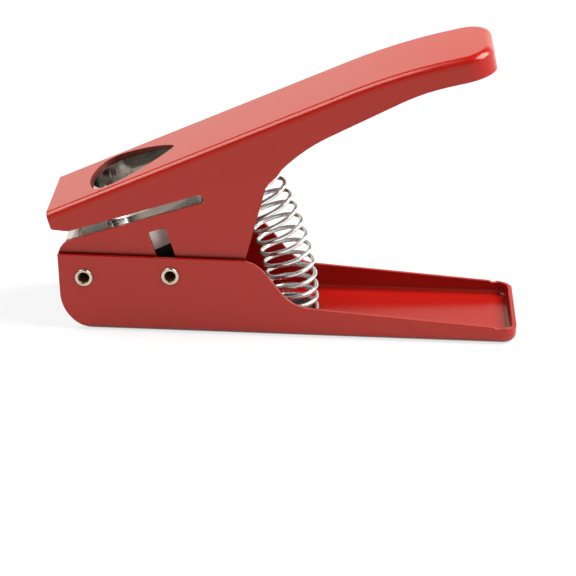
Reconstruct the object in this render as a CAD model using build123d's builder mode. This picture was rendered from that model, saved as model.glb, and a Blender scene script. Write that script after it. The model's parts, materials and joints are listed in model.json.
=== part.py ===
from build123d import *
import math
import os

os.makedirs("parts", exist_ok=True)

# Guitar pick punch: a squeezed hand tool that cuts picks in the shape of its die.
# Lengths are in millimetres and angles in degrees.
# X runs along the tool, from the cutting end (-X) to the handle end (+X), Y across it and Z up.
# The origin is under the middle of the tool, on the surface that it stands on.
# The lever stands open, as its spring holds it.

# Sheet metal and fits
sheet = 1.5
side_gap = 0.6
running_fit = 0.05
sliding_fit = 0.1
seat_gap = 0.3
overrun = 5.0

# Base channel
base_width = 47.6
front_wall_height = 29.5
front_wall_reach = 9.7
front_corner_radius = 15.0
front_wall_lean = 1.6
floor_front_setback = 4.5
rear_reach = 161.0
base_bend = 3.0
rear_corner_radius = 5.5
shoulder_reach = 63.3
shoulder_radius = 13.0
tray_front_reach = 77.5
tray_front_height = 11.6
tray_rear_height = 5.9
tray_sweep_radius = 16.0
corner_relief_setback = 6.8
corner_relief_radius = 2.4
corner_relief_depth = 0.5

# Front pivot and rear drive pin
pivot_height = 20.8
drive_pin_reach = 32.0
drive_pin_rise = 1.75
pin_radius = 2.6
pin_bore_radius = 2.0
flare_radius = 3.35

# Lever shell, laid out from the front pivot
lever_angle = 24.6
plate_height = 27.4
lever_bend = 3.0
droop_reach = 117.0
droop_radius = 230.0
droop_angle = 9.9
tip_length = 14.5
tip_depth = 8.9
tip_corner_radius = 11.5
handle_taper_angle = 6.2
handle_belly_reach = 105.0
handle_belly_height = 14.9
handle_blend_radius = 80.0
haunch_reach = 76.0
haunch_height = 5.9

# Jaws and feed slot, laid out along the slot from the front pivot
jaw_angle = 18.5
nose_reach = 5.9
nose_corner_height = 20.6
nose_corner_radius = 1.0
feed_gap = 3.4
feed_slot_height = 14.8
feed_slot_beyond_die = 3.3
feed_slot_corner = 1.2
mouth_upper_reach = 0.0
mouth_lower_reach = 0.6
lower_jaw_reach = 7.5
lower_jaw_corner = 7.4
cheek_depth = 9.5
cheek_corner = 8.0
belly_reach = 24.0
belly_depth = 16.0
belly_radius = 8.0
heel_reach = 58.4
heel_depth = 12.1
heel_radius = 2.0
window_width = 6.8
window_top = 9.5
window_corner = 1.0
window_end_gap = 0.4

# Pick outline: a rounded triangle with its tip towards the handle
pick_reach = 26.8
pick_length = 32.4
pick_width = 27.4
pick_crown_radius = 17.0
pick_shoulder_radius = 8.5
pick_flank_radius = 40.0
pick_tip_radius = 4.0

# Exit hole in the top plate: a wider rounded triangle over the die's opening
exit_reach = 29.7
exit_length = 34.2
exit_width = 34.0
exit_crown_radius = 34.0
exit_shoulder_radius = 8.0
exit_flank_radius = 46.0
exit_tip_radius = 3.0

# Die cartridge
cartridge_front = 2.4
die_rear_reach = 48.3
guide_beyond_slot = 1.0
cartridge_tongue_length = 6.0
cartridge_tongue_width = 24.0
guide_edge = 0.5
die_tongue_height = 8.0
guide_thickness = 4.9
cartridge_screw_radius = 1.5
cartridge_screw_head_radius = 2.75
cartridge_screw_head_height = 1.8
cartridge_screw_engagement = 6.5
cartridge_screw_spread = 16.0
cartridge_socket_radius = 1.0
cartridge_socket_depth = 1.0
cartridge_dowel_radius = 1.25
cartridge_dowel_spread = 6.0
cartridge_dowel_engagement = 3.0

# Punch and its carrier
punch_fit = 0.08
punch_setback = 0.8
punch_length = 14.8
carrier_neck_height = 3.5
carrier_neck_inset = 0.6
carrier_height = 9.7
carrier_front_reach = 14.0
carrier_rear_reach = 38.0
carrier_width = 30.0
carrier_edge = 1.0
pin_slot_end_gap = 0.2
pin_slot_side_gap = 0.15
lever_travel = 25.0
punch_screw_setback = 5.0
punch_screw_spread = 15.0
punch_screw_radius = 2.0
punch_screw_head_radius = 3.5
punch_screw_head_height = 3.6
punch_screw_engagement = 7.0
punch_socket_radius = 1.6
punch_socket_depth = 1.8
punch_dowel_radius = 1.5
punch_dowel_engagement = 4.0

# Bushes, washers and spacers on the two pins
bush_wall = 0.6
washer_radius = 5.0
washer_thickness = 0.5
pivot_tube_radius = 4.25
drive_spacer_radius = 4.0
drive_spacer_gap = 0.2

# Spring and its seats
wire_diameter = 1.7
coil_radius = 9.2
spring_foot_gap = 22.7
spring_bow_radius = 90.0
spring_turns = 15.25
end_turns = 0.25
foot_ramp_turns = 5.4
top_ramp_turns = 0.5
end_pitch = 3.85
coil_phase = 352.7
seat_radius = 7.5
floor_seat_height = 2.0
top_seat_height = 5.5
seat_edge = 1.0
seat_spigot_radius = 2.5
seat_spigot_recess = 0.2

# Derived places and angles
jaw_rise = lever_angle - jaw_angle
nose_top = plate_height / math.cos(math.radians(jaw_rise)) - nose_reach * math.tan(math.radians(jaw_rise))
front_reach = nose_reach * math.cos(math.radians(jaw_angle)) + nose_top * math.sin(math.radians(jaw_angle))
pivot_x = (front_reach - rear_reach) / 2
lever_width = base_width - 2 * sheet - 2 * side_gap
lever_inside = lever_width - 2 * sheet
feed_slot_top = feed_slot_height + feed_gap
feed_slot_reach = die_rear_reach + feed_slot_beyond_die
guide_rear_reach = feed_slot_reach + guide_beyond_slot
spring_foot_reach = die_rear_reach + cartridge_tongue_length + spring_foot_gap
drive_pin_radius_arm = math.hypot(drive_pin_reach, drive_pin_rise)
drive_pin_angle = math.degrees(math.atan2(drive_pin_rise, drive_pin_reach))


def turned(reach, height, angle):
    """Point of the side view, measured from the front pivot along and square to a direction."""
    lean = math.radians(angle)
    return (
        pivot_x + reach * math.cos(lean) - height * math.sin(lean),
        pivot_height + reach * math.sin(lean) + height * math.cos(lean),
    )


def along_jaw(reach, height):
    """Point of the side view, measured along and square to the feed slot."""
    return turned(reach, height, jaw_angle)


def along_plate(reach, height):
    """Point of the side view, measured along and square to the lever's top plate."""
    return turned(reach, height, lever_angle)


def side_plane(angle, reach, height):
    """Plane that lies along a direction of the side view and spans the tool's width."""
    lean = math.radians(angle)
    x, z = turned(reach, height, angle)
    return Plane(origin=(x, 0, z), x_dir=(math.cos(lean), 0, math.sin(lean)),
                 z_dir=(-math.sin(lean), 0, math.cos(lean)))


def jaw_plane(height):
    """Plane parallel to the feed slot, at a height above the front pivot."""
    return side_plane(jaw_angle, 0, height)


def plate_plane(height):
    """Plane parallel to the lever's top plate, at a height above the front pivot."""
    return side_plane(lever_angle, 0, height)


def direction(angle):
    """Axis along a direction of the side view."""
    lean = math.radians(angle)
    return Axis((0, 0, 0), (math.cos(lean), 0, math.sin(lean)))


jaw_direction = direction(jaw_angle)
jaw_normal = direction(jaw_angle + 90)
plate_direction = direction(lever_angle)


def across(x, z, y):
    """Plane square to the two pins, with its origin on a pin's axis."""
    return Plane(origin=(x, y, z), x_dir=(1, 0, 0), z_dir=(0, 1, 0))


def pin_position(turn):
    """Drive pin's centre as the lever sees it after closing by an angle, along the feed slot."""
    seen = math.radians(drive_pin_angle - jaw_angle + turn)
    return drive_pin_radius_arm * math.cos(seen), drive_pin_radius_arm * math.sin(seen)


drive_pin_x = pivot_x + drive_pin_reach
drive_pin_z = pivot_height + drive_pin_rise
pin_rest_reach, pin_rest_height = pin_position(0)
pin_shut_reach, pin_shut_height = pin_position(lever_travel)
pin_slot_middle = (pin_rest_reach + drive_pin_radius_arm) / 2
pin_slot_length = drive_pin_radius_arm - pin_rest_reach + 2 * (pin_radius + pin_slot_end_gap)
pin_slot_height = 2 * (pin_radius + pin_slot_side_gap)
punch_stroke = pin_shut_height - pin_rest_height
window_bottom = pin_rest_height - pin_radius - window_end_gap
punch_top = feed_slot_height - punch_setback
punch_bottom = punch_top - punch_length
carrier_top = punch_bottom - carrier_neck_height
carrier_bottom = carrier_top - carrier_height
guide_bottom = feed_slot_height - guide_thickness


def rounded_triangle(plane, reach, length, width, crown_radius, shoulder_radius, flank_radius, tip_radius):
    """Outline on a plane, of arcs that meet smoothly, with its tip towards the handle."""
    crown_x = reach - length / 2 + crown_radius
    tip_x = reach + length / 2 - tip_radius
    shoulder_y = width / 2 - shoulder_radius
    centre_gap = crown_radius - shoulder_radius
    shoulder_x = crown_x - math.sqrt(centre_gap**2 - shoulder_y**2)
    crown_lean = math.atan2(shoulder_y, shoulder_x - crown_x)
    # Centre of the flank's arc, which meets the shoulder's and the tip's circles smoothly
    shoulder_gap = flank_radius - shoulder_radius
    tip_gap = flank_radius - tip_radius
    chord = math.hypot(tip_x - shoulder_x, shoulder_y)
    chord_lean = math.atan2(-shoulder_y, tip_x - shoulder_x)
    flank_turn = math.acos((shoulder_gap**2 + chord**2 - tip_gap**2) / (2 * shoulder_gap * chord))
    flank_x = shoulder_x + shoulder_gap * math.cos(chord_lean - flank_turn)
    flank_y = shoulder_y + shoulder_gap * math.sin(chord_lean - flank_turn)
    shoulder_lean = math.atan2(shoulder_y - flank_y, shoulder_x - flank_x)
    tip_lean = math.atan2(-flank_y, tip_x - flank_x)

    def on_circle(x, y, radius, angle):
        return (x + radius * math.cos(angle), y + radius * math.sin(angle))

    crown_end = on_circle(crown_x, 0, crown_radius, crown_lean)
    crown_middle = on_circle(crown_x, 0, crown_radius, math.pi)
    shoulder_middle = on_circle(shoulder_x, shoulder_y, shoulder_radius, (crown_lean + shoulder_lean) / 2)
    flank_start = on_circle(shoulder_x, shoulder_y, shoulder_radius, shoulder_lean)
    flank_middle = on_circle(flank_x, flank_y, flank_radius, (shoulder_lean + tip_lean) / 2)
    flank_end = on_circle(tip_x, 0, tip_radius, tip_lean)
    tip_middle = on_circle(tip_x, 0, tip_radius, 0)

    def mirrored(point):
        return (point[0], -point[1])

    with BuildSketch(plane) as shape:
        with BuildLine():
            ThreePointArc(mirrored(crown_end), crown_middle, crown_end)
            ThreePointArc(crown_end, shoulder_middle, flank_start)
            ThreePointArc(flank_start, flank_middle, flank_end)
            ThreePointArc(flank_end, tip_middle, mirrored(flank_end))
            ThreePointArc(mirrored(flank_end), mirrored(flank_middle), mirrored(flank_start))
            ThreePointArc(mirrored(flank_start), mirrored(shoulder_middle), mirrored(crown_end))
        make_face()
    return shape.sketch


def pick_shape(bottom, grow):
    """Pick's outline at a height along the punch, larger all round by an amount."""
    return rounded_triangle(jaw_plane(bottom), pick_reach, pick_length + 2 * grow, pick_width + 2 * grow,
                            pick_crown_radius + grow, pick_shoulder_radius + grow,
                            pick_flank_radius + grow, pick_tip_radius + grow)


def finish(piece, name):
    """Labels a finished piece and writes it."""
    piece.part.label = name
    export_step(piece.part, f"parts/{name}.step")


def sheet_block_of_base(skin):
    """Block that fills the base up to its walls, or with a skin the space inside the sheet."""
    with BuildPart() as block:
        with BuildSketch(Plane.XZ):
            with BuildLine():
                front = pivot_x - front_wall_reach - (overrun if skin else 0)
                rear = pivot_x + rear_reach - skin
                top = front_wall_height + (overrun if skin else 0)
                Polyline((front, skin), (rear, skin), (rear, top), (front, top), close=True)
            make_face()
        extrude(amount=base_width / 2 - skin, both=True)
        fillet(block.edges().filter_by(Axis.Z).group_by(Axis.X)[-1], rear_corner_radius - skin)
        fillet(block.faces().sort_by(Axis.Z)[0].edges().sort_by(Axis.X)[1:], base_bend - skin)
    return block.part


base_outside = sheet_block_of_base(0)
base_inside = sheet_block_of_base(sheet)

# Base channel: one folded and drawn sheet, with tall walls at the pins and a low tray under the handle
with BuildPart() as base_channel:
    add(base_outside)
    add(base_inside, mode=Mode.SUBTRACT)
    with BuildSketch(Plane.XZ):
        with BuildLine():
            far_left = pivot_x - front_wall_reach - overrun
            far_right = pivot_x + rear_reach + overrun
            sky = front_wall_height + overrun
            tray_fall = (tray_rear_height - tray_front_height) / (rear_reach - tray_front_reach)
            FilletPolyline(
                (far_left, front_wall_height),
                (pivot_x + shoulder_reach, front_wall_height),
                (pivot_x + tray_front_reach, tray_front_height),
                (far_right, tray_rear_height + overrun * tray_fall),
                radius=[shoulder_radius, tray_sweep_radius],
            )
            Polyline((far_right, tray_rear_height + overrun * tray_fall), (far_right, sky),
                     (far_left, sky), (far_left, front_wall_height))
        make_face()
    extrude(amount=base_width, both=True, mode=Mode.SUBTRACT)
    # The walls' front edges lean back a little to their rounded lower corners
    with BuildSketch(Plane.XZ):
        with BuildLine():
            wall_front = pivot_x - front_wall_reach
            wall_foot = wall_front + front_wall_lean
            front_edge = FilletPolyline(
                (wall_front, front_wall_height),
                (wall_foot, 0),
                (wall_foot + base_width, 0),
                radius=front_corner_radius,
            )
            Polyline(front_edge @ 1, (wall_foot + base_width, -overrun), (wall_front - overrun, -overrun),
                     (wall_front - overrun, front_wall_height), front_edge @ 0)
        make_face()
    extrude(amount=base_width, both=True, mode=Mode.SUBTRACT)
    # The floor starts behind the rounded corners
    floor_front = pivot_x + floor_front_setback
    with BuildSketch(Plane.XY):
        with BuildLine():
            floor_side = base_width / 2 - base_bend
            Polyline((wall_front - overrun, floor_side), (floor_front, floor_side),
                     (floor_front, -floor_side), (wall_front - overrun, -floor_side), close=True)
        make_face()
    extrude(amount=base_bend, mode=Mode.SUBTRACT)
    # Small reliefs where the drawn rear corners meet the side walls
    relief_x = pivot_x + rear_reach - corner_relief_setback
    relief_edge = tray_rear_height - corner_relief_setback * tray_fall
    relief_z = relief_edge + corner_relief_radius - corner_relief_depth
    with BuildSketch(across(relief_x, relief_z, 0)):
        Circle(corner_relief_radius)
    extrude(amount=base_width, both=True, mode=Mode.SUBTRACT)
    # Holes for the two pins and for the spring seat's spigot
    for pin_x, pin_z in ((pivot_x, pivot_height), (drive_pin_x, drive_pin_z)):
        with BuildSketch(across(pin_x, pin_z, 0)):
            Circle(pin_radius + running_fit / 2)
        extrude(amount=base_width, both=True, mode=Mode.SUBTRACT)
    with BuildSketch(Plane.XY.offset(-overrun)):
        with Locations((pivot_x + spring_foot_reach, 0)):
            Circle(seat_spigot_radius + running_fit)
    extrude(amount=overrun + base_bend, mode=Mode.SUBTRACT)
finish(base_channel, "base_channel")


def droop_point(depth, angle):
    """Point of the handle's bend, at a depth under the top and an angle along the bend."""
    bend = math.radians(angle)
    radius = droop_radius - depth
    return along_plate(droop_reach + radius * math.sin(bend),
                       plate_height - droop_radius + radius * math.cos(bend))


def tip_point(depth, inset):
    """Point of the handle's end, at a depth under the top and an inset from the end wall."""
    bend = math.radians(droop_angle)
    radius = droop_radius - depth
    straight = tip_length - inset
    return along_plate(droop_reach + radius * math.sin(bend) + straight * math.cos(bend),
                       plate_height - droop_radius + radius * math.cos(bend) - straight * math.sin(bend))


def plate_underside(reach, skin):
    """Height of the top plate above the feed slot's direction, at a reach along the slot."""
    rise = math.radians(jaw_rise)
    return (plate_height - skin) / math.cos(rise) + reach * math.tan(rise)


def round_lever_edges(block, skin):
    """Rounds the handle end's corners and then the whole top edge."""
    end_face = block.faces().sort_by(Axis.X)[-1]
    fillet(end_face.edges().filter_by(Axis.Y, reverse=True), tip_corner_radius - skin)
    top_edges = block.edges().filter_by(plate_direction).sort_by(SortBy.LENGTH)[-2:]
    fillet(top_edges, lever_bend - skin)


# Side view of the lever's outside
with BuildPart() as lever_outside:
    with BuildSketch(Plane.XZ) as lever_side:
        with BuildLine():
            Line(along_jaw(-nose_reach, nose_top), droop_point(0, 0))
            ThreePointArc(droop_point(0, 0), droop_point(0, droop_angle / 2), droop_point(0, droop_angle))
            Line(droop_point(0, droop_angle), tip_point(0, 0))
            Line(tip_point(0, 0), tip_point(tip_depth, 0))
            Line(tip_point(tip_depth, 0), droop_point(tip_depth, droop_angle))
            ThreePointArc(droop_point(tip_depth, droop_angle),
                          droop_point(tip_depth, (droop_angle + handle_taper_angle) / 2),
                          droop_point(tip_depth, handle_taper_angle))
            belly = Line(droop_point(tip_depth, handle_taper_angle),
                         along_plate(handle_belly_reach, handle_belly_height))
            TangentArc(belly @ 1, along_plate(haunch_reach, haunch_height), tangent=belly % 1)
            FilletPolyline(
                along_plate(haunch_reach, haunch_height),
                along_jaw(heel_reach, -heel_depth),
                along_jaw(belly_reach, -belly_depth),
                along_jaw(-lower_jaw_reach, -cheek_depth),
                along_jaw(-lower_jaw_reach, feed_slot_height),
                along_jaw(mouth_lower_reach, feed_slot_height),
                along_jaw(mouth_upper_reach, feed_slot_top),
                along_jaw(-nose_reach, nose_corner_height),
                along_jaw(-nose_reach, nose_top),
                radius=[heel_radius, belly_radius, cheek_corner, lower_jaw_corner, 0, 0, nose_corner_radius],
            )
        make_face()
        belly_end = droop_point(tip_depth, handle_taper_angle)
        fillet(lever_side.vertices().sort_by_distance(belly_end)[0], handle_blend_radius)
    extrude(amount=lever_width / 2, both=True)
    round_lever_edges(lever_outside, 0)

# Space inside the lever's sheet
with BuildPart() as lever_inside_space:
    with BuildSketch(Plane.XZ):
        with BuildLine():
            low = -(belly_depth + base_width)
            Line(along_plate(-plate_height, plate_height - sheet), droop_point(sheet, 0))
            ThreePointArc(droop_point(sheet, 0), droop_point(sheet, droop_angle / 2),
                          droop_point(sheet, droop_angle))
            Line(droop_point(sheet, droop_angle), tip_point(sheet, sheet))
            Line(tip_point(sheet, sheet), tip_point(rear_reach / 2, sheet))
            Polyline(tip_point(rear_reach / 2, sheet), along_plate(-plate_height, low),
                     along_plate(-plate_height, plate_height - sheet))
        make_face()
    extrude(amount=lever_inside / 2, both=True)
    round_lever_edges(lever_inside_space, sheet)

# Lever shell: one folded and drawn sheet, open below and at the nose
with BuildPart() as lever_shell:
    add(lever_outside.part)
    add(lever_inside_space.part, mode=Mode.SUBTRACT)
    # Hole over the die, where the cut pick comes out
    extrude(rounded_triangle(plate_plane(plate_height - sheet - overrun), exit_reach, exit_length, exit_width,
                             exit_crown_radius, exit_shoulder_radius, exit_flank_radius, exit_tip_radius),
            amount=sheet + 2 * overrun, mode=Mode.SUBTRACT)
    # Feed slot through both side plates
    with BuildSketch(Plane.XZ):
        with BuildLine():
            FilletPolyline(
                along_jaw(-lower_jaw_reach - overrun, feed_slot_height),
                along_jaw(feed_slot_reach, feed_slot_height),
                along_jaw(feed_slot_reach, feed_slot_top),
                along_jaw(-lower_jaw_reach - overrun, feed_slot_top),
                radius=[feed_slot_corner, feed_slot_corner],
            )
            Line(along_jaw(-lower_jaw_reach - overrun, feed_slot_top),
                 along_jaw(-lower_jaw_reach - overrun, feed_slot_height))
        make_face()
    extrude(amount=base_width, both=True, mode=Mode.SUBTRACT)
    # Windows that the drive pin runs in
    with BuildSketch(Plane.XZ):
        with BuildLine():
            window_near = pin_slot_middle - window_width / 2
            window_far = pin_slot_middle + window_width / 2
            FilletPolyline(
                along_jaw(window_near, window_bottom),
                along_jaw(window_far, window_bottom),
                along_jaw(window_far, window_top),
                along_jaw(window_near, window_top),
                radius=window_corner,
                close=True,
            )
        make_face()
    extrude(amount=base_width, both=True, mode=Mode.SUBTRACT)
    # Holes for the pivot bushes
    with BuildSketch(across(pivot_x, pivot_height, 0)):
        Circle(pin_radius + running_fit + bush_wall + running_fit / 2)
    extrude(amount=base_width, both=True, mode=Mode.SUBTRACT)
finish(lever_shell, "lever_shell")

# Hollow rivets: the front one is the lever's pivot and the rear one drives the punch
def hollow_rivet(pin_x, pin_z):
    """Tube through both base walls, with its ends rolled outwards."""
    wall_face = base_width / 2
    lip_radius = (flare_radius - pin_bore_radius) / 2
    with BuildPart() as rivet:
        with BuildSketch(Plane(origin=(pin_x, 0, pin_z), x_dir=(1, 0, 0), z_dir=(0, 0, 1))):
            with BuildLine():
                Polyline((pin_bore_radius, 0), (pin_radius, 0),
                         (pin_radius, wall_face), (flare_radius, wall_face))
                ThreePointArc((flare_radius, wall_face),
                              (flare_radius - lip_radius, wall_face + lip_radius),
                              (pin_bore_radius, wall_face))
                Line((pin_bore_radius, wall_face), (pin_bore_radius, 0))
            make_face()
        revolve(axis=Axis((pin_x, 0, pin_z), (0, 1, 0)))
        mirror(about=Plane.XZ)
    return rivet


finish(hollow_rivet(pivot_x, pivot_height), "front_pivot_rivet")
finish(hollow_rivet(drive_pin_x, drive_pin_z), "rear_drive_rivet")


def ring(pin_x, pin_z, inner_face, length, radius, side):
    """Tube around one of the pins, on one side of the tool."""
    with BuildPart() as tube:
        with BuildSketch(across(pin_x, pin_z, side * inner_face)):
            Circle(radius)
            Circle(pin_radius + running_fit, mode=Mode.SUBTRACT)
        extrude(amount=side * length)
    return tube


# Pieces in pairs, one beside each wall
for side, side_name in ((-1, "near"), (1, "far")):
    # Flanged bush pressed into the lever's side plate, running on the front rivet
    with BuildPart() as pivot_bush:
        bush_radius = pin_radius + running_fit + bush_wall
        add(ring(pivot_x, pivot_height, lever_inside / 2, sheet, bush_radius, side).part)
        add(ring(pivot_x, pivot_height, lever_width / 2, washer_thickness, washer_radius, side).part)
    finish(pivot_bush, f"{side_name}_pivot_bush")
    # Washer on the drive pin, between the base wall and the lever
    washer_face = base_width / 2 - sheet - washer_thickness
    drive_washer = ring(drive_pin_x, drive_pin_z, washer_face, washer_thickness, washer_radius, side)
    finish(drive_washer, f"{side_name}_drive_washer")
    # Spacer on the drive pin, between the lever's side plate and the punch carrier
    spacer_face = carrier_width / 2 + drive_spacer_gap
    spacer_length = lever_inside / 2 - sliding_fit - spacer_face
    drive_spacer = ring(drive_pin_x, drive_pin_z, spacer_face, spacer_length, drive_spacer_radius, side)
    finish(drive_spacer, f"{side_name}_drive_spacer")

# Tube that keeps the lever's side plates apart on the pivot
with BuildPart() as pivot_spacer_tube:
    with BuildSketch(across(pivot_x, pivot_height, 0)):
        Circle(pivot_tube_radius)
        Circle(pin_radius + running_fit, mode=Mode.SUBTRACT)
    extrude(amount=lever_inside / 2, both=True)
finish(pivot_spacer_tube, "pivot_spacer_tube")

# Places shared by the pieces of the die cartridge
cartridge_width = lever_inside - 2 * sliding_fit
tongue_front = die_rear_reach
tongue_rear = die_rear_reach + cartridge_tongue_length
tongue_middle = (tongue_front + tongue_rear) / 2
tongue_top = feed_slot_top + die_tongue_height


def pair(reach, spread):
    """Two places side by side across the tool."""
    return ((reach, -spread / 2), (reach, spread / 2))


def discs(bottom, places, radius):
    """Equal circles at places on a plane parallel to the feed slot."""
    with BuildSketch(jaw_plane(bottom)) as circles:
        with Locations(*places):
            Circle(radius)
    return circles.sketch


screw_places = pair(tongue_middle, cartridge_screw_spread)
dowel_places = pair(tongue_middle, cartridge_dowel_spread)


def cartridge_holes(bottom, screw_depth, dowel_depth):
    """Cuts the holes of the cartridge's screws and dowels upwards from a height."""
    extrude(discs(bottom, screw_places, cartridge_screw_radius + running_fit),
            amount=screw_depth, mode=Mode.SUBTRACT)
    extrude(discs(bottom, dowel_places, cartridge_dowel_radius + running_fit / 2),
            amount=dowel_depth, mode=Mode.SUBTRACT)


def tongue(bottom, height):
    """Adds the cartridge's rear tongue, joined to what stands in front of it."""
    with BuildSketch(jaw_plane(bottom)) as shape:
        with Locations((tongue_middle - overrun / 2, 0)):
            Rectangle(cartridge_tongue_length + overrun, cartridge_tongue_width)
    extrude(shape.sketch, amount=height)


# Die block: fills the nose under the top plate, with a tongue behind for the screws
with BuildPart() as die_block:
    with BuildSketch(Plane.XZ):
        with BuildLine():
            Polyline(
                along_jaw(-cartridge_front, feed_slot_top),
                along_jaw(die_rear_reach, feed_slot_top),
                along_jaw(die_rear_reach, plate_underside(die_rear_reach, sheet)),
                along_jaw(-cartridge_front, plate_underside(-cartridge_front, sheet)),
                close=True,
            )
        make_face()
    extrude(amount=cartridge_width / 2, both=True)
    fillet(die_block.edges().filter_by(plate_direction), lever_bend - sheet + sliding_fit)
    tongue(feed_slot_top, die_tongue_height)
    extrude(pick_shape(feed_slot_top, punch_fit), amount=plate_height, mode=Mode.SUBTRACT)
    cartridge_holes(feed_slot_top, cartridge_screw_engagement + running_fit,
                    cartridge_dowel_engagement + running_fit)
finish(die_block, "die_block")

# Guide plate: lies under the slot and guides the punch
with BuildPart() as guide_plate:
    with BuildSketch(jaw_plane(guide_bottom)):
        with Locations(((guide_rear_reach - cartridge_front) / 2, 0)):
            Rectangle(guide_rear_reach + cartridge_front, cartridge_width)
    extrude(amount=guide_thickness)
    chamfer(guide_plate.edges().filter_by(jaw_direction).sort_by(Axis.Z)[0:2], guide_edge)
    tongue(guide_bottom, guide_thickness)
    extrude(pick_shape(guide_bottom, punch_fit), amount=guide_thickness, mode=Mode.SUBTRACT)
    cartridge_holes(guide_bottom, guide_thickness, guide_thickness)
finish(guide_plate, "guide_plate")

# Spacer that sets the slot's height and closes it behind
with BuildPart() as slit_spacer:
    with BuildSketch(jaw_plane(feed_slot_height)):
        with Locations((tongue_middle, 0)):
            Rectangle(cartridge_tongue_length, cartridge_tongue_width)
    extrude(amount=feed_gap)
    cartridge_holes(feed_slot_height, feed_gap, feed_gap)
finish(slit_spacer, "slit_spacer")

# Screws and dowels that hold the cartridge together
with BuildPart() as cartridge_screws:
    extrude(discs(guide_bottom - cartridge_screw_head_height, screw_places, cartridge_screw_head_radius),
            amount=cartridge_screw_head_height)
    extrude(discs(guide_bottom, screw_places, cartridge_screw_radius),
            amount=feed_slot_top - guide_bottom + cartridge_screw_engagement)
    with BuildSketch(jaw_plane(guide_bottom - cartridge_screw_head_height)):
        with Locations(*screw_places):
            RegularPolygon(cartridge_socket_radius, side_count=6)
    extrude(amount=cartridge_socket_depth, mode=Mode.SUBTRACT)
finish(cartridge_screws, "cartridge_screws")

with BuildPart() as cartridge_dowels:
    extrude(discs(guide_bottom, dowel_places, cartridge_dowel_radius),
            amount=feed_slot_top - guide_bottom + cartridge_dowel_engagement)
finish(cartridge_dowels, "cartridge_dowels")

# Punch: a solid pick shape that rises through the guide and the die
punch_screw_places = pair(pick_reach - punch_screw_setback, punch_screw_spread)
punch_dowel_places = ((pick_reach, 0),)

with BuildPart() as punch:
    extrude(pick_shape(punch_bottom, 0), amount=punch_length)
    extrude(discs(punch_bottom, punch_screw_places, punch_screw_radius + running_fit),
            amount=punch_screw_engagement + running_fit, mode=Mode.SUBTRACT)
    extrude(discs(punch_bottom, punch_dowel_places, punch_dowel_radius + running_fit / 2),
            amount=punch_dowel_engagement + running_fit, mode=Mode.SUBTRACT)
finish(punch, "punch")

# Carrier under the punch, with a cross slot for the drive pin
with BuildPart() as punch_carrier:
    with BuildSketch(jaw_plane(carrier_bottom)):
        with Locations(((carrier_front_reach + carrier_rear_reach) / 2, 0)):
            Rectangle(carrier_rear_reach - carrier_front_reach, carrier_width)
    extrude(amount=carrier_height)
    chamfer(punch_carrier.edges().filter_by(jaw_normal), carrier_edge)
    extrude(pick_shape(carrier_top, -carrier_neck_inset), amount=carrier_neck_height)
    with BuildSketch(Plane.XZ):
        slot_near = pin_slot_middle - pin_slot_length / 2
        slot_far = pin_slot_middle + pin_slot_length / 2
        slot_low = pin_rest_height - pin_slot_height / 2
        slot_high = pin_rest_height + pin_slot_height / 2
        with BuildLine():
            FilletPolyline(
                along_jaw(slot_near, slot_low),
                along_jaw(slot_far, slot_low),
                along_jaw(slot_far, slot_high),
                along_jaw(slot_near, slot_high),
                radius=pin_radius,
                close=True,
            )
        make_face()
    extrude(amount=base_width, both=True, mode=Mode.SUBTRACT)
    extrude(discs(carrier_bottom, punch_screw_places, punch_screw_head_radius + sliding_fit),
            amount=punch_screw_head_height + sliding_fit, mode=Mode.SUBTRACT)
    extrude(discs(carrier_bottom, punch_screw_places, punch_screw_radius + running_fit),
            amount=carrier_height + carrier_neck_height + overrun, mode=Mode.SUBTRACT)
    extrude(discs(punch_bottom, punch_dowel_places, punch_dowel_radius + running_fit / 2),
            amount=-(carrier_neck_height + punch_dowel_engagement), mode=Mode.SUBTRACT)
finish(punch_carrier, "punch_carrier")

# Socket screws and a dowel that hold the punch to its carrier
head_bottom = carrier_bottom + sliding_fit
with BuildPart() as punch_screws:
    extrude(discs(head_bottom, punch_screw_places, punch_screw_head_radius), amount=punch_screw_head_height)
    extrude(discs(head_bottom + punch_screw_head_height, punch_screw_places, punch_screw_radius),
            amount=punch_bottom + punch_screw_engagement - head_bottom - punch_screw_head_height)
    with BuildSketch(jaw_plane(head_bottom)):
        with Locations(*punch_screw_places):
            RegularPolygon(punch_socket_radius, side_count=6)
    extrude(amount=punch_socket_depth, mode=Mode.SUBTRACT)
finish(punch_screws, "punch_screws")

with BuildPart() as punch_dowel:
    extrude(discs(carrier_top - punch_dowel_engagement, punch_dowel_places, punch_dowel_radius),
            amount=carrier_neck_height + 2 * punch_dowel_engagement)
finish(punch_dowel, "punch_dowel")

# Spring axis: it stands on the floor, bows towards the pivot and meets the top plate squarely
spring_x = pivot_x + spring_foot_reach
bow_lean = math.radians(lever_angle)
bow_length = spring_bow_radius * bow_lean
bow_end_x = spring_foot_reach - spring_bow_radius * (1 - math.cos(bow_lean))
bow_end_z = sheet + spring_bow_radius * math.sin(bow_lean) - pivot_height
spring_plate_reach = bow_end_x * math.cos(bow_lean) + bow_end_z * math.sin(bow_lean)
bow_end_height = bow_end_z * math.cos(bow_lean) - bow_end_x * math.sin(bow_lean)
spring_length = bow_length + plate_height - sheet - bow_end_height


def spring_axis(run):
    """Point of the spring's axis in the side view, and its lean, at a run from the floor."""
    lean = min(run / spring_bow_radius, bow_lean)
    beyond = max(run - bow_length, 0)
    x = spring_x - spring_bow_radius * (1 - math.cos(lean)) - beyond * math.sin(lean)
    z = sheet + spring_bow_radius * math.sin(lean) + beyond * math.cos(lean)
    return x, z, lean


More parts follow.
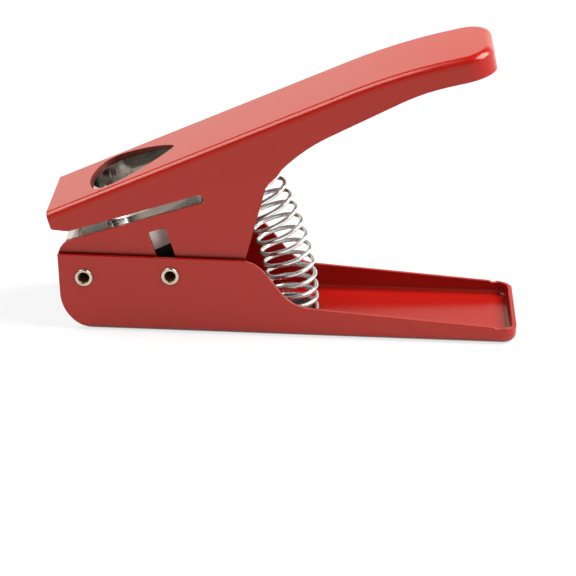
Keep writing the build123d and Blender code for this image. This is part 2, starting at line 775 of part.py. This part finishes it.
# Seats that hold the spring's two ends from inside
with BuildPart() as spring_floor_seat:
    with BuildSketch(Plane.XY.offset(sheet)):
        with Locations((spring_x, 0)):
            Circle(seat_radius)
    extrude(amount=floor_seat_height)
    chamfer(spring_floor_seat.edges().sort_by(Axis.Z)[-1], seat_edge)
    with BuildSketch(Plane.XY.offset(seat_spigot_recess)):
        with Locations((spring_x, 0)):
            Circle(seat_spigot_radius)
    extrude(amount=sheet - seat_spigot_recess)
finish(spring_floor_seat, "spring_floor_seat")

with BuildPart() as spring_top_seat:
    with BuildSketch(side_plane(lever_angle, spring_plate_reach, plate_height - sheet)):
        Circle(seat_radius)
    extrude(amount=-top_seat_height)
    chamfer(spring_top_seat.edges().sort_by(Axis.Z)[0], seat_edge)
finish(spring_top_seat, "spring_top_seat")

# Spring: one wire wound right-handed, with closer turns towards its foot and at its top
wire_radius = wire_diameter / 2
coil_start = seat_gap + wire_radius
coil_length = spring_length - 2 * coil_start
open_turns = spring_turns - 2 * end_turns - (foot_ramp_turns + top_ramp_turns) / 2
pitch_gain = (coil_length - end_pitch * spring_turns) / open_turns


def eased_turns(turn, ramp_turns):
    """Turns at the full pitch that a number of turns is worth, when the pitch grows over a ramp."""
    ramp_share = min(max(turn / ramp_turns, 0), 1)
    return ramp_turns * (ramp_share**3 - ramp_share**4 / 2) + max(turn - ramp_turns, 0)


def coil_rise(turn):
    """Run along the spring's axis after a number of turns."""
    if turn < spring_turns / 2:
        opened = eased_turns(turn - end_turns, foot_ramp_turns)
    else:
        opened = open_turns - eased_turns(spring_turns - end_turns - turn, top_ramp_turns)
    return end_pitch * turn + pitch_gain * opened


def coil_place(turn):
    """Centre of the wire after a number of turns."""
    x, z, lean = spring_axis(coil_start + coil_rise(turn))
    phase = math.radians(coil_phase) + 2 * math.pi * turn
    out = coil_radius * math.cos(phase)
    return Vector(x + out * math.cos(lean), coil_radius * math.sin(phase), z + out * math.sin(lean))


def coil_heading(turn):
    """Direction of the wire after a number of turns."""
    turn_step = 1 / 3600
    return (coil_place(turn + turn_step) - coil_place(turn - turn_step)).normalized()


def biarc(start, start_heading, end, end_heading):
    """Two arcs that leave and arrive along the given directions."""
    chord = end - start
    both = start_heading + end_heading
    along = chord.dot(both)
    spread = 4 - both.dot(both)
    reach = (math.sqrt(along**2 + spread * chord.dot(chord)) - along) / spread
    start_corner = start + start_heading * reach
    end_corner = end - end_heading * reach
    joint = (start_corner + end_corner) / 2
    TangentArc(start, joint, tangent=start_heading)
    TangentArc(joint, end, tangent=end_corner - start_corner)


quarter_turns = round(4 * spring_turns)
with BuildPart() as spring:
    with BuildLine():
        first, last = coil_place(0), coil_place(spring_turns)
        first_heading, last_heading = coil_heading(0), coil_heading(spring_turns)
        Line(first - first_heading * wire_diameter, first)
        for quarter in range(quarter_turns):
            here, there = quarter / 4, (quarter + 1) / 4
            biarc(coil_place(here), coil_heading(here), coil_place(there), coil_heading(there))
        Line(last, last + last_heading * wire_diameter)
    with BuildSketch(Plane(origin=first - first_heading * wire_diameter, z_dir=first_heading)):
        Circle(wire_radius)
    sweep()
finish(spring, "spring")

# Least gap between the spring's turns, measured on points along the wire
points_per_turn = 24
coil_steps = round(points_per_turn * spring_turns)
coil_points = [coil_place(step / points_per_turn) for step in range(coil_steps + 1)]
coil_gap = min(
    (coil_points[one] - coil_points[other]).length - wire_diameter
    for one in range(len(coil_points))
    for other in range(one + points_per_turn // 2, len(coil_points))
)
print(f"least gap between the spring's turns: {coil_gap:.2f} mm")
print(f"punch stroke: {punch_stroke:.3f} mm")
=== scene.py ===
import json
import math

import bmesh
import bpy
from mathutils import Matrix, Vector


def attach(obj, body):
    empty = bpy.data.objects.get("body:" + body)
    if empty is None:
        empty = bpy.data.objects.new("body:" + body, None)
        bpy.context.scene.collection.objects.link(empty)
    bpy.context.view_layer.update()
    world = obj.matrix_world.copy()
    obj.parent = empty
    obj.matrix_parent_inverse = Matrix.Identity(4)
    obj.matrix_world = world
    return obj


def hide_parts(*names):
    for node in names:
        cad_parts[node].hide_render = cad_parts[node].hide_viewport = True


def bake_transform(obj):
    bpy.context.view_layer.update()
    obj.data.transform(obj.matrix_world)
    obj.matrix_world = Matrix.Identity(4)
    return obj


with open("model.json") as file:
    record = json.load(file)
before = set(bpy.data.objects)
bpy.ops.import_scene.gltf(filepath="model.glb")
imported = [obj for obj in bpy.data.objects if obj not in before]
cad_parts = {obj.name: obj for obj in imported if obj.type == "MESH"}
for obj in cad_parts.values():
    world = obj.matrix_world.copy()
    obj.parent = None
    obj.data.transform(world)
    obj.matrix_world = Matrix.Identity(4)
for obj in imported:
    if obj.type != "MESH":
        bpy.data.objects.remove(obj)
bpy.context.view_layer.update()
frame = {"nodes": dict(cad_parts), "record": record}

# Lengths below are in metres, in the frame of the CAD model
mm = 0.001
pivot = Vector(frame["record"]["behaviour"]["joints"][0]["pos_m"])

# Camera: fitted to the photograph, 576 pixels wide with its centre on the optical axis
camera_reach = 99.95 * mm
camera_distance_y = 800.76 * mm
camera_height = 340.7 * mm
camera_heading = math.radians(1.79)
camera_tilt = math.radians(22.444)
camera_roll = math.radians(1.406)
sensor_width = 36.0
focal_pixels = 2278.8
image_pixels = 576
nearest_seen = 50.0 * mm

# Sheet and lever, as in the CAD model
sheet = 1.5 * mm
lever_angle = math.radians(24.6)
plate_height = 27.4 * mm

# Hollow rivets, as in the CAD model
rear_pin = pivot + Vector((32.0, 0, 1.75)) * mm
base_half_width = 23.8 * mm
rivet_bore = 2.0 * mm
rivet_radius = 2.6 * mm
rivet_flare = 3.35 * mm
rivet_sides = 64
lip_steps = 12

# Spring, as in the CAD model
wire_diameter = 1.7 * mm
coil_radius = 9.2 * mm
spring_foot_reach = 77.0 * mm
spring_bow_radius = 90.0 * mm
spring_turns = 15.25
end_turns = 0.25
foot_ramp_turns = 5.4
top_ramp_turns = 0.5
end_pitch = 3.85 * mm
seat_gap = 0.3 * mm
coil_phase = math.radians(352.7)

# Spring's mesh: its steps and sides, its straight wire ends, and the rim bevelled round each cut end
steps_per_turn = 48
wire_sides = 16
rim_steps = 3
wire_tail = 0.8 * wire_diameter
wire_rim = 0.2 * wire_diameter

# Finishes: depths and reaches on the surface, and noise sizes in features to the metre
# Reach of the painted shade in the enamel's crevices
crevice_shade_reach = 2.5 * mm
peel_depth = 0.05 * mm
grain_depth = 0.02 * mm
soft_edge = 0.35 * mm
mottle_scale = 55.0
mottle_detail = 4.0
mottle_roughness = 0.08
peel_scale = 620.0
peel_detail = 1.0
stain_scale = 160.0
stain_detail = 3.0
line_detail = 3.0
line_roughness = 0.2
shader_samples = 8

# Painted shade in the rivets' bores: a dull brown that is not metallic
bore_shade_reach = 2.15 * mm
bore_shade_colour = (0.3, 0.16, 0.1, 1)

# Painted shade on the sheared edge of the hole in the plate: where its middle lies from the pivot, and how
# far it is from there
hole_edge_middle = 27.7 * mm
hole_edge_reach = 19.3 * mm
hole_edge_half_depth = 0.62 * mm
hole_edge_shade_colour = (0.1, 0.003, 0.002, 1)
hole_edge_roughness = (0.6, 0.6, 0.6, 1)

# Floor: a square of paper, shown partly by its own light so that its shadows stay faint
floor_half = 3.0
floor_colour = (0.9, 0.9, 0.9, 1)
floor_roughness = 0.9
floor_own_light = 0.72
plain_from = 0.4
plain_to = 1.2

# Room: white up to one height of the view direction, dim above another
white_below = 0.22
dim_above = 0.62
dim_light = 0.06
room_light = (0.12, 0.12, 0.12, 1)
mirrored_tint = (1, 0.92, 0.82, 1)
white = (1, 1, 1, 1)


# Shader node groups

def new_group(name, inputs, outputs):
    """Empty shader group with named sockets, each given as a name, a type and a starting value."""
    group = bpy.data.node_groups.new(name, "ShaderNodeTree")
    for label, kind, value in inputs:
        group.interface.new_socket(name=label, in_out="INPUT", socket_type=kind).default_value = value
    for label, kind in outputs:
        group.interface.new_socket(name=label, in_out="OUTPUT", socket_type=kind)
    return group, group.nodes.new("NodeGroupInput").outputs, group.nodes.new("NodeGroupOutput").inputs


def add_node(tree, kind, links=None, **settings):
    """Adds a node, sets its properties, and links or sets its inputs by name or number."""
    made = tree.nodes.new(kind)
    for key, value in settings.items():
        setattr(made, key, value)
    for key, value in (links or {}).items():
        if isinstance(value, bpy.types.NodeSocket):
            tree.links.new(value, made.inputs[key])
        else:
            made.inputs[key].default_value = value
    return made


def reckon(tree, operation, *terms, **settings):
    """Number worked out from outputs or numbers."""
    made = add_node(tree, "ShaderNodeMath", dict(enumerate(terms)), operation=operation, **settings)
    return made.outputs[0]


def reckon_vector(tree, operation, *terms):
    """Vector worked out from outputs or vectors."""
    made = add_node(tree, "ShaderNodeVectorMath", dict(enumerate(terms)), operation=operation)
    return made.outputs["Vector"]


def measure_vector(tree, operation, *terms):
    """Number worked out from vectors, such as a length."""
    made = add_node(tree, "ShaderNodeVectorMath", dict(enumerate(terms)), operation=operation)
    return made.outputs["Value"]


def scaled(tree, colour, factor):
    """Colour times a number."""
    made = add_node(tree, "ShaderNodeVectorMath", {"Vector": colour, "Scale": factor}, operation="SCALE")
    return made.outputs["Vector"]


def mixed(tree, mask, one, other):
    """Mix of two colours, which is the other one where the mask is 1."""
    made = add_node(tree, "ShaderNodeMix", {"Factor": mask, "A": one, "B": other}, data_type="RGBA")
    return made.outputs["Result"]


def object_place(tree):
    """Place of the shaded point in the object's own frame."""
    return add_node(tree, "ShaderNodeTexCoord").outputs["Object"]


def noise(tree, place, scale, detail):
    """Soft noise from 0 to 1."""
    made = add_node(tree, "ShaderNodeTexNoise", {"Vector": place, "Scale": scale, "Detail": detail})
    return made.outputs[0]


def swing(tree, value):
    """Noise moved to swing about 0."""
    return reckon(tree, "SUBTRACT", value, 0.5)


def enamel_group():
    """Baked enamel: faint mottling, painted shade in crevices, a fine orange peel and softened edges."""
    group, given, result = new_group(
        "Enamel Coat",
        [("Colour", "NodeSocketColor", (0.3, 0.02, 0.02, 1)),
         ("Mottle", "NodeSocketFloat", 0.06),
         ("Roughness", "NodeSocketFloat", 0.3),
         ("Peel", "NodeSocketFloat", 0.1),
         ("Crevice Shade", "NodeSocketFloat", 0.0),
         ("Edge", "NodeSocketFloat", 0.0)],
        [("Colour", "NodeSocketColor"), ("Roughness", "NodeSocketFloat"), ("Normal", "NodeSocketVector")],
    )
    place = object_place(group)
    clouds = swing(group, noise(group, place, mottle_scale, mottle_detail))
    mottled = reckon(group, "MULTIPLY_ADD", clouds, given["Mottle"], 1.0)
    # Painted shade: the colour is darkened where ambient occlusion finds a crevice
    openness = add_node(group, "ShaderNodeAmbientOcclusion", {"Distance": crevice_shade_reach},
                        samples=shader_samples).outputs["AO"]
    depth = reckon(group, "POWER", openness, given["Crevice Shade"])
    shade = reckon(group, "MULTIPLY", mottled, depth)
    group.links.new(scaled(group, given["Colour"], shade), result["Colour"])
    rough = reckon(group, "MULTIPLY_ADD", clouds, mottle_roughness, given["Roughness"], use_clamp=True)
    group.links.new(rough, result["Roughness"])
    peel = noise(group, place, peel_scale, peel_detail)
    edge = add_node(group, "ShaderNodeBevel", {"Radius": given["Edge"]}, samples=shader_samples).outputs[0]
    bump = add_node(group, "ShaderNodeBump", {
        "Strength": given["Peel"], "Distance": peel_depth, "Height": peel, "Normal": edge})
    group.links.new(bump.outputs[0], result["Normal"])
    return group


def grained_metal_group():
    """Ground or drawn metal: fine lines along one direction, with soft stains."""
    group, given, result = new_group(
        "Grained Metal",
        [("Colour", "NodeSocketColor", (0.6, 0.6, 0.6, 1)),
         ("Grain", "NodeSocketVector", (200.0, 4000.0, 4000.0)),
         ("Stain", "NodeSocketFloat", 0.1),
         ("Roughness", "NodeSocketFloat", 0.25),
         ("Depth", "NodeSocketFloat", 0.1)],
        [("Colour", "NodeSocketColor"), ("Roughness", "NodeSocketFloat"), ("Normal", "NodeSocketVector")],
    )
    place = object_place(group)
    lines = noise(group, reckon_vector(group, "MULTIPLY", place, given["Grain"]), 1.0, line_detail)
    stains = swing(group, noise(group, place, stain_scale, stain_detail))
    shade = reckon(group, "MULTIPLY_ADD", stains, given["Stain"], 1.0)
    group.links.new(scaled(group, given["Colour"], shade), result["Colour"])
    rough = reckon(group, "MULTIPLY_ADD", swing(group, lines), line_roughness, given["Roughness"],
                   use_clamp=True)
    group.links.new(rough, result["Roughness"])
    bump = add_node(group, "ShaderNodeBump", {
        "Strength": given["Depth"], "Distance": grain_depth, "Height": lines})
    group.links.new(bump.outputs[0], result["Normal"])
    return group


def bore_group():
    """Painted shade in the hollow rivets: a mask that is 1 inside their bores."""
    group, given, result = new_group(
        "Bore Shade",
        [("Front Pin", "NodeSocketVector", (0, 0, 0)),
         ("Rear Pin", "NodeSocketVector", (0, 0, 0)),
         ("Bore Radius", "NodeSocketFloat", 0.002)],
        [("Mask", "NodeSocketFloat")],
    )
    place = object_place(group)
    reaches = []
    for pin in ("Front Pin", "Rear Pin"):
        offset = reckon_vector(group, "SUBTRACT", place, given[pin])
        flat = reckon_vector(group, "MULTIPLY", offset, (1, 0, 1))
        reaches.append(measure_vector(group, "LENGTH", flat))
    nearest = reckon(group, "MINIMUM", *reaches)
    group.links.new(reckon(group, "LESS_THAN", nearest, given["Bore Radius"]), result["Mask"])
    return group


def cut_edge_group():
    """Sheared edge of a hole in a sheet: a mask between two planes, within a reach of one point."""
    group, given, result = new_group(
        "Cut Edge",
        [("Centre", "NodeSocketVector", (0, 0, 0)),
         ("Normal", "NodeSocketVector", (0, 0, 1)),
         ("Reach", "NodeSocketFloat", 0.02),
         ("Half Depth", "NodeSocketFloat", 0.0006)],
        [("Mask", "NodeSocketFloat")],
    )
    offset = reckon_vector(group, "SUBTRACT", object_place(group), given["Centre"])
    depth = reckon(group, "ABSOLUTE", measure_vector(group, "DOT_PRODUCT", offset, given["Normal"]))
    between = reckon(group, "LESS_THAN", depth, given["Half Depth"])
    near = reckon(group, "LESS_THAN", measure_vector(group, "LENGTH", offset), given["Reach"])
    group.links.new(reckon(group, "MULTIPLY", between, near), result["Mask"])
    return group


enamel = enamel_group()
grained = grained_metal_group()
bore_shade_group = bore_group()
cut_edge = cut_edge_group()


# Materials

def new_material(name, group, surface, **constants):
    """Material whose Principled shader takes its colour, roughness and normal from a group."""
    material = bpy.data.materials.new(name)
    material.use_nodes = True
    tree = material.node_tree
    shader = tree.nodes["Principled BSDF"]
    for key, value in constants.items():
        shader.inputs[key.replace("_", " ")].default_value = value
    source = add_node(tree, "ShaderNodeGroup", surface, node_tree=group)
    tree.links.new(source.outputs["Colour"], shader.inputs["Base Color"])
    tree.links.new(source.outputs["Roughness"], shader.inputs["Roughness"])
    tree.links.new(source.outputs["Normal"], shader.inputs["Normal"])
    return material


# The red enamel carries painted shade in its crevices and on the edge of the plate's hole
red_enamel = new_material("red_enamel", enamel, {
    "Colour": (0.41, 0.0085, 0.0055, 1), "Mottle": 0.08, "Roughness": 0.22, "Peel": 0.06, "Crevice Shade": 1.0,
    "Edge": soft_edge}, Specular_Tint=(1.0, 0.86, 0.72, 1))
bright_nickel = new_material("bright_nickel", grained, {
    "Colour": (0.62, 0.54, 0.43, 1), "Grain": (900.0, 900.0, 900.0), "Stain": 0.5, "Roughness": 0.2,
    "Depth": 0.12}, Metallic=1.0)
zinc_wire = new_material("zinc_wire", grained, {
    "Colour": (0.86, 0.96, 0.95, 1), "Grain": (900.0, 900.0, 900.0), "Stain": 0.15, "Roughness": 0.24,
    "Depth": 0.04}, Metallic=0.85)
zinc_steel = new_material("zinc_steel", grained, {
    "Colour": (0.62, 0.63, 0.64, 1), "Grain": (2500.0, 90.0, 2500.0), "Stain": 0.25, "Roughness": 0.28,
    "Depth": 0.1}, Metallic=1.0)
bronze = new_material("bronze", grained, {
    "Colour": (0.55, 0.36, 0.17, 1), "Grain": (2500.0, 90.0, 2500.0), "Stain": 0.3, "Roughness": 0.32,
    "Depth": 0.1}, Metallic=1.0)
ground_steel = new_material("ground_steel", grained, {
    "Colour": (0.57, 0.565, 0.555, 1), "Grain": (150.0, 3200.0, 3200.0), "Stain": 0.35, "Roughness": 0.11,
    "Depth": 0.06}, Metallic=1.0)
die_steel = new_material("die_steel", grained, {
    "Colour": (0.46, 0.44, 0.41, 1), "Grain": (400.0, 3200.0, 400.0), "Stain": 0.4, "Roughness": 0.1,
    "Depth": 0.06}, Metallic=1.0)
punch_steel = new_material("punch_steel", grained, {
    "Colour": (0.95, 0.92, 0.88, 1), "Grain": (900.0, 3200.0, 900.0), "Stain": 0.6, "Roughness": 0.46,
    "Depth": 0.2}, Metallic=1.0)
dark_steel = new_material("dark_steel", grained, {
    "Colour": (0.06, 0.06, 0.064, 1), "Grain": (1500.0, 1500.0, 1500.0), "Stain": 0.5, "Roughness": 0.42,
    "Depth": 0.15}, Metallic=1.0)
black_nylon = new_material("black_nylon", enamel, {
    "Colour": (0.022, 0.022, 0.024, 1), "Mottle": 0.2, "Roughness": 0.5, "Peel": 0.3})


def lay_over(material, label, mask, value):
    """Puts a value over what feeds one input of a material's shader, where the mask is 1."""
    tree = material.node_tree
    target = tree.nodes["Principled BSDF"].inputs[label]
    clean = target.links[0].from_socket
    tree.links.new(mixed(tree, mask, clean, value), target)


def paint_bore_shade(material):
    """Paints shade inside the two rivets' bores: a dull brown there, with no metal sheen."""
    tree = material.node_tree
    bore_shade_node = add_node(tree, "ShaderNodeGroup", {
        "Front Pin": pivot, "Rear Pin": rear_pin, "Bore Radius": bore_shade_reach}, node_tree=bore_shade_group)
    # Painted shade: brown colour inside the bores, and the metal turned off there
    lay_over(material, "Base Color", bore_shade_node.outputs["Mask"], bore_shade_colour)
    outside_bores = reckon(tree, "SUBTRACT", 1.0, bore_shade_node.outputs["Mask"])
    tree.links.new(outside_bores, tree.nodes["Principled BSDF"].inputs["Metallic"])


def paint_hole_edge_shade(material):
    """Paints shade on the sheared edge of the hole in the lever's plate: a dull dark red, rougher than the
    rest.
    """
    along = Vector((math.cos(lever_angle), 0, math.sin(lever_angle)))
    normal = Vector((-math.sin(lever_angle), 0, math.cos(lever_angle)))
    edge = add_node(material.node_tree, "ShaderNodeGroup", {
        "Centre": pivot + along * hole_edge_middle + normal * (plate_height - sheet / 2),
        "Normal": normal,
        "Reach": hole_edge_reach,
        "Half Depth": hole_edge_half_depth,
    }, node_tree=cut_edge)
    # Painted shade: a dark red laid over the enamel on the hole's edge
    lay_over(material, "Base Color", edge.outputs["Mask"], hole_edge_shade_colour)
    lay_over(material, "Roughness", edge.outputs["Mask"], hole_edge_roughness)


paint_bore_shade(bright_nickel)
paint_hole_edge_shade(red_enamel)


# CAD pieces: each in the finish of its slot, and two of the steel ones in their own

finishes = {
    "red_enamel": red_enamel,
    "bright_nickel": bright_nickel,
    "zinc_wire": zinc_wire,
    "zinc_steel": zinc_steel,
    "bronze": bronze,
    "ground_steel": ground_steel,
    "dark_steel": dark_steel,
    "black_nylon": black_nylon,
}


def dress(piece, material):
    """Gives a piece one material."""
    piece.data.materials.clear()
    piece.data.materials.append(material)


for entry in frame["record"]["subparts"]:
    dress(frame["nodes"][entry["node"]], finishes[entry["material_slot"]])
dress(frame["nodes"]["punch"], punch_steel)
dress(frame["nodes"]["die_block"], die_steel)


# Hollow rivets: the same turned shape as the CAD solids, with smooth lips

def as_piece(name, mesh):
    """Object of a finished bmesh, which is freed."""
    data = bpy.data.meshes.new(name)
    mesh.to_mesh(data)
    mesh.free()
    piece = bpy.data.objects.new(name, data)
    bpy.context.scene.collection.objects.link(piece)
    return piece


def join_rings(mesh, one, other):
    """Faces between two closed rings of points that match one by one."""
    for number in range(len(one)):
        following = (number + 1) % len(one)
        mesh.faces.new((one[number], one[following], other[following], other[number]))


def rivet_profile():
    """Closed outline of the rivet's wall, as radius and place along it, with a round lip at each end."""
    lip = (rivet_flare - rivet_bore) / 2
    half = [(rivet_radius, base_half_width)]
    for step in range(lip_steps + 1):
        angle = math.pi * step / lip_steps
        half.append((rivet_flare - lip + lip * math.cos(angle), base_half_width + lip * math.sin(angle)))
    return half + [(radius, -along) for radius, along in reversed(half)]


def build_rivet(node, place):
    """Tube across the tool with rolled lips, turned about its own axis."""
    mesh = bmesh.new()
    profile = rivet_profile()
    rings = []
    for side in range(rivet_sides):
        turn = 2 * math.pi * side / rivet_sides
        rings.append([
            mesh.verts.new((place.x + radius * math.cos(turn), along, place.z + radius * math.sin(turn)))
            for radius, along in profile
        ])
    for one, other in zip(rings, rings[1:] + rings[:1]):
        join_rings(mesh, one, other)
    bmesh.ops.recalc_face_normals(mesh, faces=mesh.faces)
    for face in mesh.faces:
        face.smooth = True
    rivet = as_piece(f"{node}_smooth", mesh)
    dress(rivet, bright_nickel)
    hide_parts(node)
    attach(rivet, "base")


build_rivet("front_pivot_rivet", pivot)
build_rivet("rear_drive_rivet", rear_pin)


# Spring: the same right-handed wire as the CAD solid, as one smooth tube

spring_foot_x = pivot.x + spring_foot_reach
bow_length = spring_bow_radius * lever_angle
bow_end_x = spring_foot_reach - spring_bow_radius * (1 - math.cos(lever_angle))
bow_end_z = sheet + spring_bow_radius * math.sin(lever_angle) - pivot.z
bow_end_height = bow_end_z * math.cos(lever_angle) - bow_end_x * math.sin(lever_angle)
spring_length = bow_length + plate_height - sheet - bow_end_height
coil_start = seat_gap + wire_diameter / 2
coil_length = spring_length - 2 * coil_start
open_turns = spring_turns - 2 * end_turns - (foot_ramp_turns + top_ramp_turns) / 2
pitch_gain = (coil_length - end_pitch * spring_turns) / open_turns


def spring_axis(run):
    """Point of the spring's axis and its lean, at a run from the floor."""
    lean = min(run / spring_bow_radius, lever_angle)
    beyond = max(run - bow_length, 0)
    x = spring_foot_x - spring_bow_radius * (1 - math.cos(lean)) - beyond * math.sin(lean)
    z = sheet + spring_bow_radius * math.sin(lean) + beyond * math.cos(lean)
    return Vector((x, 0, z)), lean


def eased_turns(turn, ramp_turns):
    """Turns at the full pitch that a number of turns is worth, when the pitch grows over a ramp."""
    ramp = min(max(turn / ramp_turns, 0), 1)
    return ramp_turns * (ramp**3 - ramp**4 / 2) + max(turn - ramp_turns, 0)


def coil_rise(turn):
    """Run along the axis after a number of turns."""
    if turn < spring_turns / 2:
        opened = eased_turns(turn - end_turns, foot_ramp_turns)
    else:
        opened = open_turns - eased_turns(spring_turns - end_turns - turn, top_ramp_turns)
    return end_pitch * turn + pitch_gain * opened


def coil_place(turn):
    """Centre of the wire after a number of turns."""
    place, lean = spring_axis(coil_start + coil_rise(turn))
    phase = coil_phase + 2 * math.pi * turn
    outward = Vector((math.cos(lean), 0, math.sin(lean)))
    return place + coil_radius * (math.cos(phase) * outward + math.sin(phase) * Vector((0, 1, 0)))


def spring_path():
    """Centre line of the wire, with a straight piece at each end."""
    steps = round(spring_turns * steps_per_turn)
    path = [coil_place(step / steps_per_turn) for step in range(steps + 1)]
    start_heading = (path[1] - path[0]).normalized()
    end_heading = (path[-1] - path[-2]).normalized()
    return [path[0] - start_heading * wire_tail, *path, path[-1] + end_heading * wire_tail]


def stations_along(path):
    """Place, heading and two directions across at each point of a path, without twist."""
    last = len(path) - 1
    normal = (path[1] - path[0]).normalized().orthogonal()
    stations = []
    for number, place in enumerate(path):
        ahead = (path[min(number + 1, last)] - path[max(number - 1, 0)]).normalized()
        normal = (normal - ahead * normal.dot(ahead)).normalized()
        stations.append((place, ahead, normal, ahead.cross(normal)))
    return stations


def tube_mesh(name, path, radius, sides, rim):
    """Closed tube along a path of points, whose cut ends are slightly dished inside a bevelled rim."""
    mesh = bmesh.new()
    stations = stations_along(path)
    sections = []

    def add_section(station, shift, size):
        """Adds a ring of points round a station, moved along its heading."""
        place, ahead, normal, across = station
        ring = []
        for side in range(sides):
            angle = 2 * math.pi * side / sides
            spoke = math.cos(angle) * normal + math.sin(angle) * across
            ring.append(mesh.verts.new(place + ahead * shift + spoke * size))
        sections.append(ring)

    rises = [math.sin(math.pi / 2 * step / rim_steps) for step in range(rim_steps)]
    for rise in rises:
        add_section(stations[0], -rim * rise, radius - rim * (1 - rise))
    for station in stations:
        add_section(station, 0, radius)
    for rise in reversed(rises):
        add_section(stations[-1], rim * rise, radius - rim * (1 - rise))
    for one, other in zip(sections, sections[1:]):
        join_rings(mesh, one, other)
    mesh.faces.new(list(reversed(sections[0])))
    mesh.faces.new(sections[-1])
    bmesh.ops.recalc_face_normals(mesh, faces=mesh.faces)
    for face in mesh.faces:
        face.smooth = len(face.verts) == 4
    return as_piece(name, mesh)


def build_spring():
    """Return spring, which bends between the base and the lever."""
    spring = tube_mesh("spring_wire", spring_path(), wire_diameter / 2, wire_sides, wire_rim)
    dress(spring, zinc_wire)
    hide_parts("spring")
    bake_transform(spring)


build_spring()


# Floor, room, camera and light

def seen_rays(tree):
    """Mask of the rays that see the background: straight ones, mirrored ones and ones through glass."""
    rays = add_node(tree, "ShaderNodeLightPath").outputs
    direct = reckon(tree, "MAXIMUM", rays["Is Camera Ray"], rays["Is Glossy Ray"])
    return reckon(tree, "MAXIMUM", direct, rays["Is Transmission Ray"])


def build_floor():
    """Plain white floor that keeps a faint shadow of the tool, and none far away."""
    mesh = bmesh.new()
    signs = ((-1, -1), (1, -1), (1, 1), (-1, 1))
    mesh.faces.new([mesh.verts.new((x * floor_half, y * floor_half, 0)) for x, y in signs])
    floor = as_piece("floor", mesh)
    material = bpy.data.materials.new("floor_paper")
    material.use_nodes = True
    tree = material.node_tree
    paper = tree.nodes["Principled BSDF"]
    paper.inputs["Base Color"].default_value = floor_colour
    paper.inputs["Roughness"].default_value = floor_roughness
    paper.inputs["Specular IOR Level"].default_value = 0.0
    glow = add_node(tree, "ShaderNodeEmission", {"Color": white, "Strength": 1.0})
    near_share = reckon(tree, "MULTIPLY", seen_rays(tree), floor_own_light)
    distance = measure_vector(tree, "LENGTH", object_place(tree))
    far = add_node(tree, "ShaderNodeMapRange", {
        "Value": distance, "From Min": plain_from, "From Max": plain_to}, interpolation_type="SMOOTHSTEP")
    straight = add_node(tree, "ShaderNodeLightPath").outputs["Is Camera Ray"]
    far_share = reckon(tree, "MULTIPLY", far.outputs[0], straight)
    share = reckon(tree, "MAXIMUM", near_share, far_share)
    blend = add_node(tree, "ShaderNodeMixShader", {0: share, 1: paper.outputs[0], 2: glow.outputs[0]})
    tree.links.new(blend.outputs[0], tree.nodes["Material Output"].inputs["Surface"])
    dress(floor, material)


def build_world():
    """Dim room whose low part is seen white, as the paper behind the tool."""
    world = bpy.data.worlds.new("studio")
    bpy.context.scene.world = world
    world.use_nodes = True
    tree = world.node_tree
    direction = add_node(tree, "ShaderNodeTexCoord").outputs["Generated"]
    height = add_node(tree, "ShaderNodeSeparateXYZ", {0: direction}).outputs["Z"]
    brightness = add_node(tree, "ShaderNodeMapRange", {
        "Value": height, "From Min": white_below, "From Max": dim_above, "To Min": 1.0, "To Max": dim_light,
    }, interpolation_type="SMOOTHSTEP").outputs[0]
    mirrored = add_node(tree, "ShaderNodeLightPath").outputs["Is Glossy Ray"]
    tint = mixed(tree, mirrored, white, mirrored_tint)
    seen = scaled(tree, tint, brightness)
    background = tree.nodes["Background"]
    tree.links.new(mixed(tree, seen_rays(tree), room_light, seen), background.inputs["Color"])
    background.inputs["Strength"].default_value = 1.0


def build_camera():
    """Camera at the photograph's viewing angle."""
    data = bpy.data.cameras.new("camera")
    data.sensor_width = sensor_width
    data.lens = focal_pixels / image_pixels * sensor_width
    data.clip_start = nearest_seen
    camera = bpy.data.objects.new("camera", data)
    forward = Vector((
        -math.sin(camera_heading) * math.cos(camera_tilt),
        math.cos(camera_heading) * math.cos(camera_tilt),
        -math.sin(camera_tilt),
    ))
    level = Vector((math.cos(camera_heading), math.sin(camera_heading), 0))
    upward = level.cross(forward)
    right = level * math.cos(camera_roll) + upward * math.sin(camera_roll)
    up = upward * math.cos(camera_roll) - level * math.sin(camera_roll)
    turn = Matrix((right, up, -forward)).transposed().to_4x4()
    place = Vector((pivot.x + camera_reach, -camera_distance_y, camera_height))
    camera.matrix_world = Matrix.Translation(place) @ turn
    bpy.context.scene.collection.objects.link(camera)
    bpy.context.scene.camera = camera


def area_light(name, place, target, size, power, colour):
    """Rectangular softbox of a width and height, aimed at a point."""
    data = bpy.data.lights.new(name, "AREA")
    data.shape = "RECTANGLE"
    data.size, data.size_y = size
    data.energy = power
    data.color = colour
    lamp = bpy.data.objects.new(name, data)
    lamp.location = place
    lamp.rotation_euler = (Vector(target) - Vector(place)).to_track_quat("-Z", "Y").to_euler()
    bpy.context.scene.collection.objects.link(lamp)


def build_light():
    """Soft light: a bright box on each side overhead, and a low pale wall of light behind."""
    area_light("left_box", place=(-0.66, 0.06, 0.98), target=(0, 0, 0.04), size=(0.8, 0.7), power=11,
               colour=(1, 1, 1))
    area_light("right_box", place=(0.78, 0.1, 0.95), target=(0, 0, 0.04), size=(0.9, 0.8), power=24,
               colour=(1, 1, 1))
    area_light("back_box", place=(-0.3, 1.4, 0.33), target=(0, 0, 0.1), size=(2.8, 0.45), power=0.7,
               colour=(1, 0.88, 0.74))


build_floor()
build_world()
build_camera()
build_light()
bpy.context.scene.view_settings.view_transform = "Standard"
